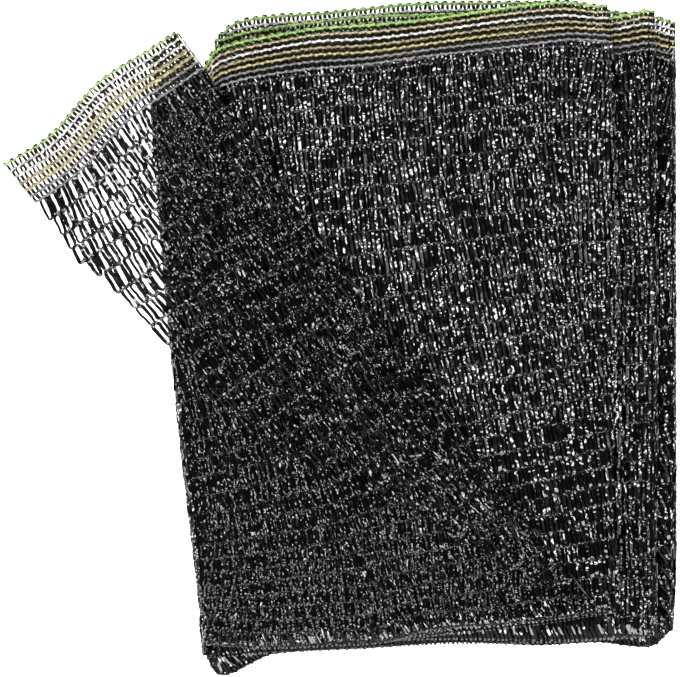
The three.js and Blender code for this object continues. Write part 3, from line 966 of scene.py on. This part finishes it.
def wrap_paths(number, random):
    """Strokes that wrap round the bottom turn of a pass, from its first sheet to its second."""
    share, climb, _ = (np.array(column, float)[None] for column in zip(*WRAP_STROKE))
    length, at = bottom_line(number)
    count = int(length / STROKE_PITCH)
    stray = TAPE_LAY["wrap"].stray
    base, tangent, outward = at((np.arange(count) + 0.5) * length / count + random.normal(0, stray, count))
    turn, up = np.pi * share, -side_of(number)
    radius = SINGLE_TURN + SHEET_RISE + random.normal(*WRAP_SWELL, (count, 1))
    lean = random.normal(WRAP_LEAN, stray / 3, (count, 1)) * climb
    out = radius * np.sin(turn) - climb * np.clip(random.normal(1, WRAP_SPREAD, (count, 1)), *WRAP_LIMITS)
    x = base[:, :1] + tangent[:, :1] * lean + outward[:, :1] * out
    y = base[:, 1:] + tangent[:, 1:] * lean + outward[:, 1:] * out
    on_top = share == (0 if up > 0 else 1)
    z = settle(x, y, middle_height(number) + radius * np.cos(turn) * up)
    z = z + (WRAP_RISE * np.minimum(climb, 1) + WRAP_SLOPE * climb) * on_top
    z = z + random.normal(0, WAVINESS / 2, x.shape)
    sideways, upright = np.sin(turn), np.cos(turn) * up
    facing = np.stack([outward[:, :1] * sideways, outward[:, 1:] * sideways, 0 * x + upright], axis=-1)
    return np.stack([x, y, np.maximum(z, LOWEST_TAPE)], axis=-1), facing


def add_shade_strand(gathered, number, random):
    """A dark strand in shaded tape along the bottom edge of a pass: painted shade where the cloth turns round
    at the bottom.
    """
    length, at = bottom_line(number)
    base, _, outward = at(np.linspace(0, length, EDGE_TUBE.samples * int(length / STROKE_PITCH) + 1))
    path = laid(*(base + outward * SHADE_STRAND_OUT).T, middle_height(number))
    path[:, 2] = np.maximum(path[:, 2], SHADE_STRAND_RADIUS)
    gathered.add(*chain_tube(path, SHADE_STRAND_RADIUS, EDGE_TUBE, random), SHADED)


def edge_net():
    """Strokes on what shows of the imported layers: strips on the right, low rows, folds and bottom turns."""
    gathered = Gathered()
    for number, front_edge, seed in ((MIDDLE_PASS, "front_right", 41), (REAR_PASS, "middle_right", 42)):
        plan, level = pass_plan(number), FIRST_SHEET[number]
        add_net(gathered, plan, level + SHEET_RISE, seed, "strip", FINE, keep=beyond(front_edge))
        add_net(gathered, plan, level, seed + 10, "strip", FINE, downs=LOW_DOWNS, slot=SHADED)
    random = np.random.default_rng(61)
    for number in range(1, TURNED_PASS):
        add_fold_strokes(gathered, number, BODY_DOWNS, BEND_ANGLES, BEND_STROKE, random, "fold")
    add_fold_strokes(gathered, TURNED_PASS, BODY_DOWNS, SLANT_ANGLES, PLAIN_STROKE, random, "turned")
    for number in range(1, PILE_PASSES + 1):
        paths, facing = wrap_paths(number, random)
        slots = np.zeros((len(paths), len(WRAP_STROKE) - 1, len(PLAIN_SECTION) - 1))
        slots[:, WRAP_BEND] = DULL
        if number == COVERED_PASS:
            slots[:] = SHADED
        gathered.add(*tape_ribbons(paths, WRAP_STROKE, PLAIN_SECTION, random, "wrap", facing), slots.ravel())
    # Dark strands paint the shade along the bottom edges of the two lowest passes
    for number in (COVERED_PASS, REAR_PASS):
        add_shade_strand(gathered, number, random)
    return gathered.piece("net_edges", [black_tape, shaded_tape, dull_tape])


# Chain lines of the body: their radius and rise, and the radius of the thin ones on top
BODY_CHAIN = 0.09
BODY_CHAIN_RISE = 0.25
THIN_CHAIN = 0.06


def add_body_chains(gathered, plan, level, seed, radius=BODY_CHAIN, rise=BODY_CHAIN_RISE, front_edge=None):
    """Lays the chain lines of a pass, dark on the pile; where they hang free over the bright floor they are
    painted pale, as painted light.
    """
    random = np.random.default_rng(seed)
    for down in BODY_DOWNS[1:]:
        path = chain_path(plan, down, level + rise, STROKE_PITCH, BODY_TUBE.samples)
        if front_edge is not None:
            path = path[left_of_edge(front_edge, *path[:, :2].T) < UNDERLAP]
        free = left_of_edge("front_left", *path[:-1, :2].T) > 0
        gathered.add(*chain_tube(path, radius, BODY_TUBE, random), np.repeat(free, BODY_TUBE.sides))


def body_chains():
    gathered = Gathered()
    add_body_chains(gathered, flap_plan, FLAP_LEVEL, 71, THIN_CHAIN, 0)
    add_body_chains(gathered, pass_plan(TURNED_PASS), SECOND_SHEET[TURNED_PASS], 72, THIN_CHAIN, 0)
    for number, seed, front_edge in ((FRONT_PASS, 73, None), (MIDDLE_PASS, 74, "front_right"),
                                     (REAR_PASS, 75, "middle_right")):
        add_body_chains(gathered, pass_plan(number), FIRST_SHEET[number], seed, front_edge=front_edge)
    return gathered.piece("chain_lines", [body_chain, painted_light_chain])


# Selvages: coloured chains with short black bars between them
CHAIN_RADIUS = 0.56
CHAIN_RADII = (0.7, 0.56, 0.56, 0.56, 0.56, 0.56, 0.56)
FLAP_CHAIN_RADII = (0.52, 0.56, 0.56, 0.8, 0.8, 0.56, 0.56)
CHAIN_PITCH = 2.7
BAR_SINK = 0.1
PASS_DEPTH = 270.0
BEND_BEADS = 7
SLANT_BEADS = 2

# How far the selvages of hidden sheets are drawn in under the one that shows
HIDDEN_INSET = 7.0


def add_selvage(gathered, plan, level, seed, fine, inset, barred=everywhere):
    """Knits the chains of one selvage, and the bars between them where they are wanted."""
    random = np.random.default_rng(seed)
    rows = SELVAGE_DOWNS + inset / PASS_DEPTH
    tube, section = (FINE_TUBE, FINE_SECTION) if fine else (PLAIN_TUBE, PLAIN_SECTION)
    radii = FLAP_CHAIN_RADII if plan is flap_plan else CHAIN_RADII
    for slot, (down, radius) in enumerate(zip(rows, radii), 1):
        path = chain_path(plan, down, level, BAR_PITCH, tube.samples)
        gathered.add(*chain_tube(path, radius, tube, random), slot)
    for shape, downs in ((EDGE_STROKE, rows[:2]), (BAR_STROKE, rows[1:])):
        strokes = net_strokes(plan, downs, BAR_PITCH, random, TAPE_LAY["bar"].stray)
        paths = stroke_paths(chosen(strokes, barred(strokes)), shape, level - BAR_SINK, random, "bar")
        gathered.add(*tape_ribbons(paths, shape, section, random, "bar"))


def add_fold_selvage(gathered, number, bare, random):
    """Carries the chains, and the bars of a selvage that isn't bare, round the fold that ends a pass."""
    beads, angles = BEND_BEADS, BAR_BEND_ANGLES
    if number == TURNED_PASS:
        beads, angles = SLANT_BEADS, SLANT_ANGLES
    turn = np.linspace(0, np.pi, beads * FOLD_TUBE.samples + 1)
    for slot, down in enumerate(SELVAGE_DOWNS, 1):
        path, facing = round_fold(number, np.array(down), turn)
        path[:, 2] = np.maximum(path[:, 2], LOWEST_CHAIN)
        gathered.add(*chain_tube(path, CHAIN_RADIUS, FOLD_TUBE, random, facing), slot)
    if not bare:
        add_fold_strokes(gathered, number, SELVAGE_DOWNS, angles, BAR_STROKE, random, "bar")


def selvage(name, layers, folds, bare_folds=(), chains=selvage_chains):
    """Joins the selvages of some sheets and of the folds between them."""
    gathered = Gathered()
    random = np.random.default_rng(100 + len(layers))
    for layer in layers:
        add_selvage(gathered, *layer)
    for number in folds:
        add_fold_selvage(gathered, number, number in bare_folds, random)
    return gathered.piece(name, [bar_tape, *chains])


def rear_selvages(numbers):
    """Both selvages of some packed passes, with the fine one where it shows on top."""
    layers = []
    for number in numbers:
        on_top = number in (REAR_PASS, MIDDLE_PASS)
        first_inset = 0.0 if on_top else HIDDEN_INSET
        layers.append((pass_plan(number), FIRST_SHEET[number], 90 + 2 * number, on_top, first_inset))
        layers.append((pass_plan(number), SECOND_SHEET[number], 91 + 2 * number, False, HIDDEN_INSET))
    return layers


edge_chain, _, white_chain, *inner_chains = selvage_chains
pale_second = [edge_chain, white_chain, white_chain, *inner_chains]
sheet = packed_layers()
nets = [flap_net(), turned_net(), front_net(), edge_net(), body_chains()]
selvages = [
    selvage("selvage_flap", [(flap_plan, FLAP_LEVEL, 81, True, 0.0)], (TURNED_PASS,), chains=pale_second),
    selvage("selvage_front", [
        (pass_plan(FRONT_PASS), FIRST_SHEET[FRONT_PASS], 82, True, 0.0, past_slant),
        (pass_plan(FRONT_PASS), SECOND_SHEET[FRONT_PASS], 83, False, CHAIN_PITCH, past_slant),
        (pass_plan(TURNED_PASS), SECOND_SHEET[TURNED_PASS], 84, True, 0.0, past_slant),
        (pass_plan(TURNED_PASS), FIRST_SHEET[TURNED_PASS], 85, False, 0.0, past_slant),
    ], (5, FRONT_PASS), bare_folds=(FRONT_PASS,)),
    selvage("selvage_middle", rear_selvages((3, 4, 5)), (3, 4)),
    selvage("selvage_rear", rear_selvages((1, 2)), (1, 2), chains=pale_second),
]

for piece in [sheet, *nets, *selvages]:
    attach(piece, "root")
    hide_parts("shade_cloth")


# Floor, camera and light, in metres except for the sensor
FLOOR_SIZE = 6.0
PIXEL = 0.43 * MM
PHOTO_WIDTH = 680
CAMERA_HEIGHT = 2.4
CAMERA_SHIFT = 0.5 * PIXEL
CLIP_END = 20
FOCUS_HEIGHT = 0.014
SENSOR = 36.0


def pale_floor():
    bpy.ops.object.select_all(action="DESELECT")
    bpy.ops.mesh.primitive_plane_add(size=FLOOR_SIZE, location=(0, 0, 0))
    floor = bpy.context.object
    floor.name = "floor"
    floor.data.materials.append(floor_material())


def overhead_camera():
    data = bpy.data.cameras.new("overhead")
    data.sensor_width = SENSOR
    data.lens = SENSOR * (CAMERA_HEIGHT - FOCUS_HEIGHT) / (PHOTO_WIDTH * PIXEL)
    data.clip_end = CLIP_END
    camera = bpy.data.objects.new("overhead", data)
    camera.location = (-CAMERA_SHIFT, CAMERA_SHIFT, CAMERA_HEIGHT)
    bpy.context.scene.collection.objects.link(camera)
    bpy.context.scene.camera = camera


# Wide dim panels and small bright softboxes: height and bearing in degrees, distance, width, power
SOFTBOXES = [
    (40, 2, 1.0, 0.42, 1.3),
    (46, 178, 1.0, 0.42, 1.3),
    (50, 268, 1.2, 0.55, 11.0),
    (66, 8, 1.0, 0.15, 2.2),
    (52, 352, 1.0, 0.15, 2.2),
    (38, 20, 1.0, 0.16, 2.4),
    (30, 338, 1.0, 0.16, 2.4),
    (60, 172, 1.0, 0.15, 2.2),
    (48, 190, 1.0, 0.15, 2.2),
    (36, 163, 1.0, 0.16, 2.4),
    (28, 202, 1.0, 0.16, 2.4),
    (70, 100, 1.0, 0.13, 1.7),
    (55, 72, 1.0, 0.13, 1.7),
    (50, 122, 1.0, 0.13, 1.7),
    (58, 250, 1.0, 0.13, 1.7),
    (46, 296, 1.0, 0.13, 1.7),
    (16, 0, 1.1, 0.16, 1.8),
    (16, 180, 1.1, 0.16, 1.8),
]


def soft_light():
    for height, bearing, distance, width, power in SOFTBOXES:
        data = bpy.data.lights.new("softbox", "AREA")
        data.shape = "SQUARE"
        data.size = width
        data.energy = power
        light = bpy.data.objects.new(data.name, data)
        turn, rise = math.radians(bearing), math.radians(height)
        way = (math.cos(turn) * math.cos(rise), math.sin(turn) * math.cos(rise), math.sin(rise))
        light.location = [distance * part for part in way]
        light.rotation_euler = (math.pi / 2 - rise, 0, turn + math.pi / 2)
        light.visible_camera = False
        bpy.context.scene.collection.objects.link(light)
    bpy.context.scene.view_settings.view_transform = "Standard"


# Brightness of the studio round the cloth: sine of the height above the floor, level
STUDIO_LEVELS = [(0, 0.5), (0.35, 1.0), (0.62, 0.95), (0.8, 0.7), (0.93, 0.34), (1, 0.08)]


def studio_walls():
    """Pale walls that are brightest at middle height and dark overhead."""
    world = bpy.data.worlds.new("studio")
    world.use_nodes = True
    nodes, links = world.node_tree.nodes, world.node_tree.links
    place = nodes.new("ShaderNodeTexCoord")
    height = nodes.new("ShaderNodeSeparateXYZ")
    levels = nodes.new("ShaderNodeValToRGB")
    elements = levels.color_ramp.elements
    while len(elements) < len(STUDIO_LEVELS):
        elements.new(0.5)
    for element, (sine, level) in zip(elements, STUDIO_LEVELS):
        element.position = sine
        element.color = (level, level, level, 1)
    links.new(place.outputs["Generated"], height.inputs["Vector"])
    links.new(height.outputs["Z"], levels.inputs["Fac"])
    links.new(levels.outputs["Color"], nodes["Background"].inputs["Color"])
    bpy.context.scene.world = world


pale_floor()
overhead_camera()
soft_light()
studio_walls()
